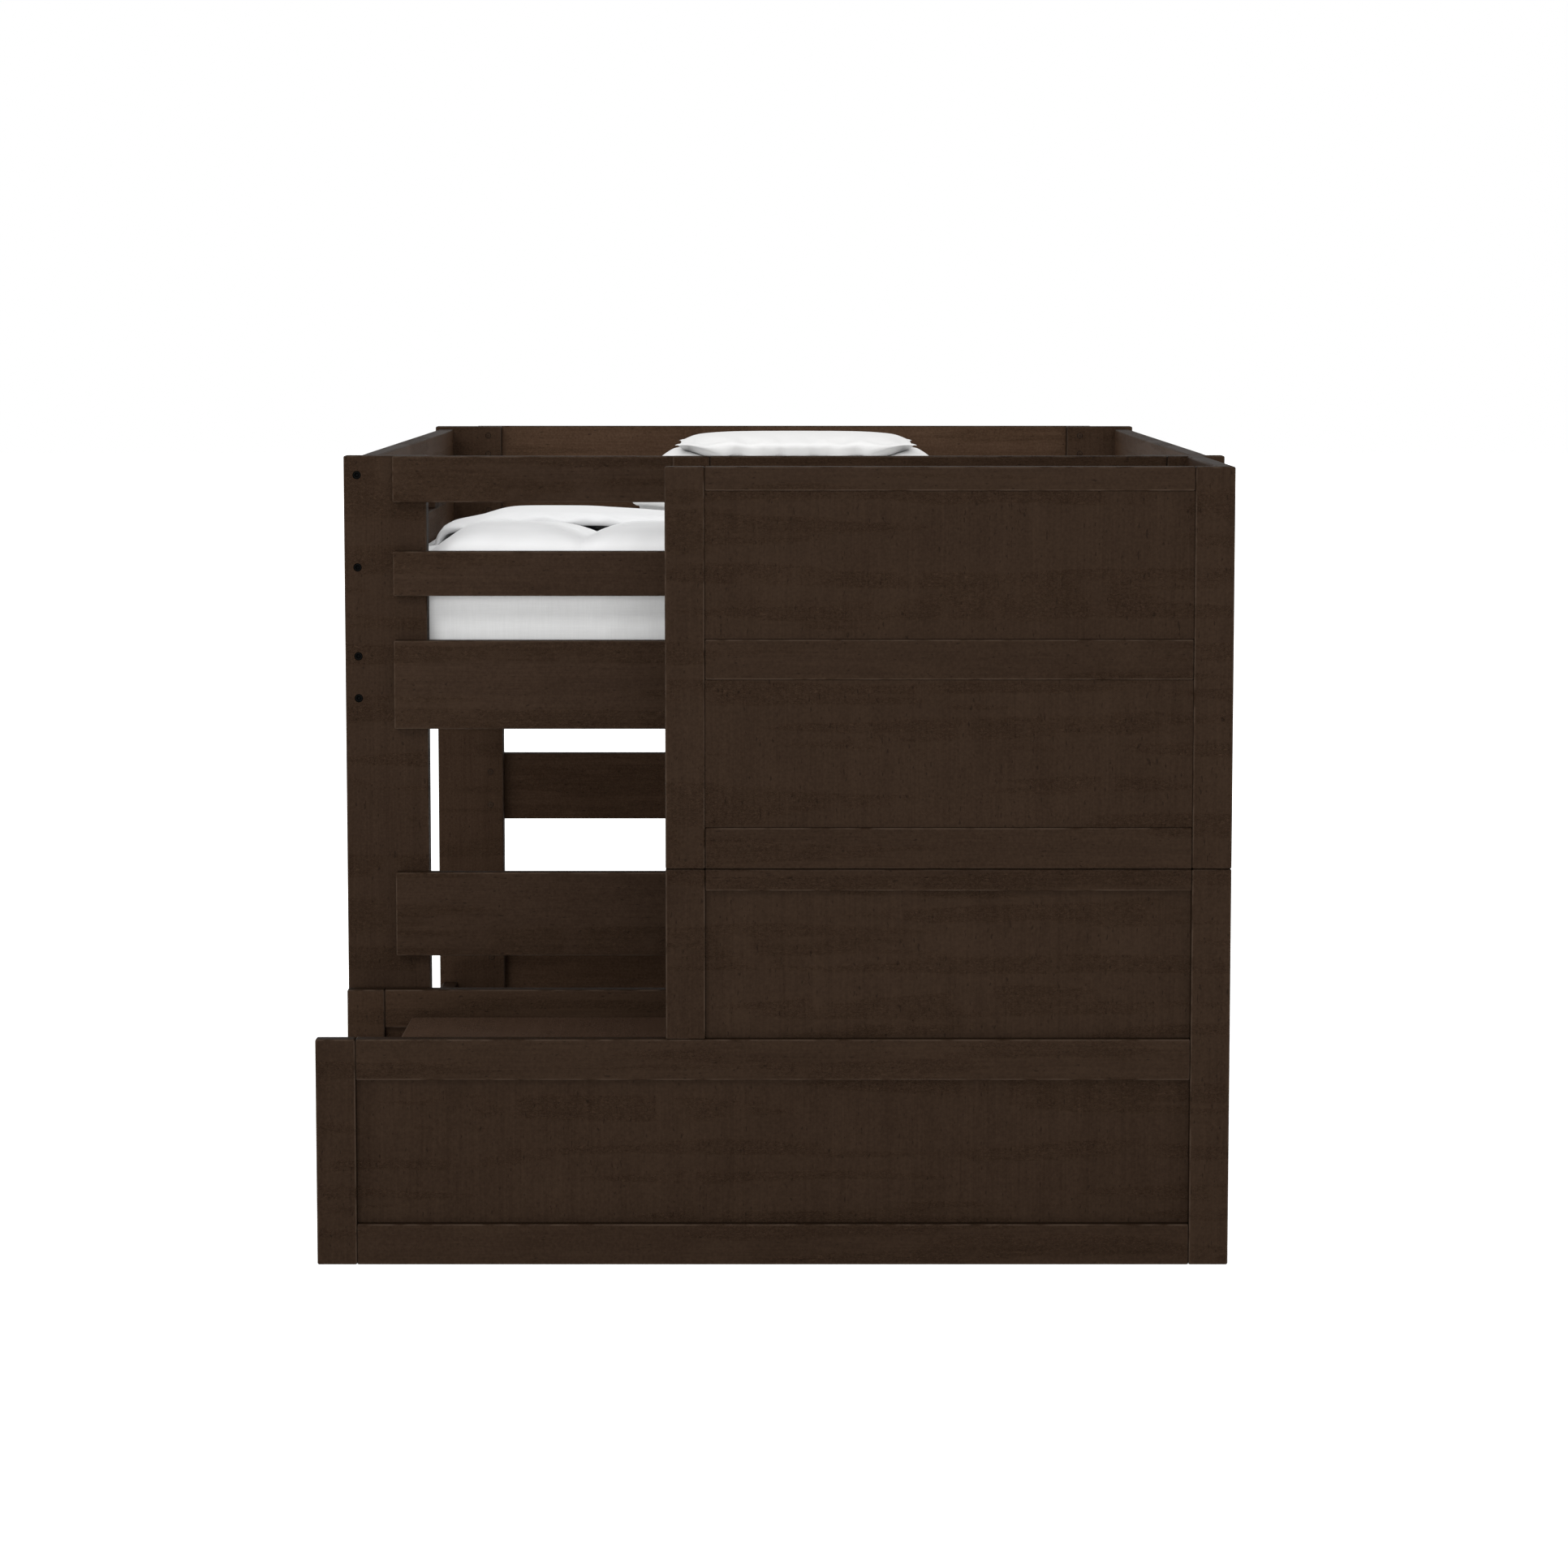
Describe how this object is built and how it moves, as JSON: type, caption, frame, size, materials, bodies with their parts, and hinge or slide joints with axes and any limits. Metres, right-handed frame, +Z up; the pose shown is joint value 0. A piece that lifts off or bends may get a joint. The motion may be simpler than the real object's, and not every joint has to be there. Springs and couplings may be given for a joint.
{
  "type": "bunk bed",
  "caption": "Low two-berth bunk bed in dark stained wood, with guard rails all round the upper berth, a framed and panelled step unit at the foot end, and white bedding.",
  "frame": {"origin": "on the floor, under the middle of the whole object's box", "axes": "+X across the bed, to the right seen from the step unit; +Y along the bed, from the step unit to the head end; +Z up"},
  "size_m": [1.46, 2.606, 1.241],
  "materials": {
    "espresso_wood": "satin dark espresso stain over straight grain",
    "slat_wood": "thin stain, matt",
    "black_steel": "black oxide",
    "zinc_steel": "zinc plated",
    "mattress_ticking": "light grey knitted ticking",
    "duvet_cotton": "white cotton",
    "pillow_cotton": "white cotton"
  },
  "bodies": {
    "root": {"foot_post_left": "espresso_wood", "foot_post_right": "espresso_wood", "head_post_left": "espresso_wood", "head_post_right": "espresso_wood", "foot_rail_top": "espresso_wood", "foot_rail_guard": "espresso_wood", "foot_rail_berth": "espresso_wood", "foot_rail_middle": "espresso_wood", "foot_rail_floor": "espresso_wood", "head_rail_top": "espresso_wood", "head_rail_guard": "espresso_wood", "head_rail_berth": "espresso_wood", "head_rail_middle": "espresso_wood", "head_rail_floor": "espresso_wood", "left_guard_top": "espresso_wood", "left_guard_second": "espresso_wood", "left_berth_rail": "espresso_wood", "left_floor_rail": "espresso_wood", "right_guard_top": "espresso_wood", "right_guard_second": "espresso_wood", "right_berth_rail": "espresso_wood", "right_floor_rail": "espresso_wood", "guard_spacers": "espresso_wood", "upper_bearers": "espresso_wood", "upper_slats": "slat_wood", "lower_bearers": "espresso_wood", "lower_slats": "slat_wood", "bed_bolts": "black_steel", "barrel_nuts": "zinc_steel", "rail_screws": "zinc_steel", "screw_plugs": "espresso_wood", "outer_stile_left": "espresso_wood", "outer_stile_right": "espresso_wood", "outer_stile_short": "espresso_wood", "outer_rail_bottom": "espresso_wood", "outer_rail_middle": "espresso_wood", "outer_rail_top": "espresso_wood", "outer_panels": "espresso_wood", "outer_guard_stiles": "espresso_wood", "outer_guard_rails": "espresso_wood", "outer_guard_panels": "espresso_wood", "inner_stiles": "espresso_wood", "inner_rails": "espresso_wood", "inner_panels": "espresso_wood", "inner_guard_stiles": "espresso_wood", "inner_guard_rails": "espresso_wood", "inner_guard_panels": "espresso_wood", "side_stiles": "espresso_wood", "side_rails": "espresso_wood", "side_panels": "espresso_wood", "tread_low": "espresso_wood", "tread_middle": "espresso_wood", "tread_top": "espresso_wood", "risers": "espresso_wood", "tread_cleats": "espresso_wood", "unit_bolts": "black_steel", "mattress": "mattress_ticking", "duvet": "duvet_cotton", "pillow_lower": "pillow_cotton", "pillow_upper": "pillow_cotton"}
  },
  "joints": []
}
